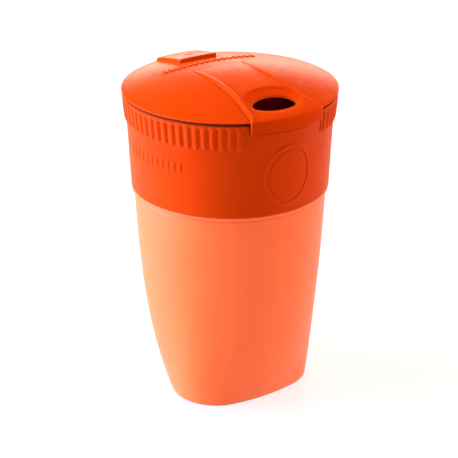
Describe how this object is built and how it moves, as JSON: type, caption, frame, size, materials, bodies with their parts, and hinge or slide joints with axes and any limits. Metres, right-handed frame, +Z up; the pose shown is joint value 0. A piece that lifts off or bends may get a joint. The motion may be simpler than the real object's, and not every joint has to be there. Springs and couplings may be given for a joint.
{
  "type": "collapsible travel cup",
  "caption": "Reusable drinking cup whose soft rounded-triangle body folds up into a stiff collar, closed by a domed press-on sip lid.",
  "frame": {"origin": "centre of the underside of the base, on the surface the cup stands on", "axes": "+Z up along the cup's axis, -Y towards the drinking hole and the lid's lip, +X to the right seen from the lip"},
  "size_m": [0.076, 0.0768, 0.1186],
  "materials": {
    "soft_body": "soft matte thermoplastic elastomer",
    "hard_orange": "satin polypropylene",
    "seal": "soft matte thermoplastic elastomer"
  },
  "bodies": {
    "base": {"base_bowl": "soft_body", "folding_wall": "soft_body"},
    "collar": {"collar_ring": "hard_orange", "collar_liner": "soft_body"},
    "lid": {"lid_cap": "hard_orange", "lid_seal": "seal"}
  },
  "joints": [
    {"name": "collapse", "type": "slide", "parent": "base", "child": "collar", "axis": [0, 0, -1], "range_m": [0, 0.066], "deforming": ["folding_wall"]},
    {"name": "lid_lift", "type": "slide", "parent": "collar", "child": "lid", "axis": [0, 0, 1], "range_m": [0, 0.04]}
  ]
}
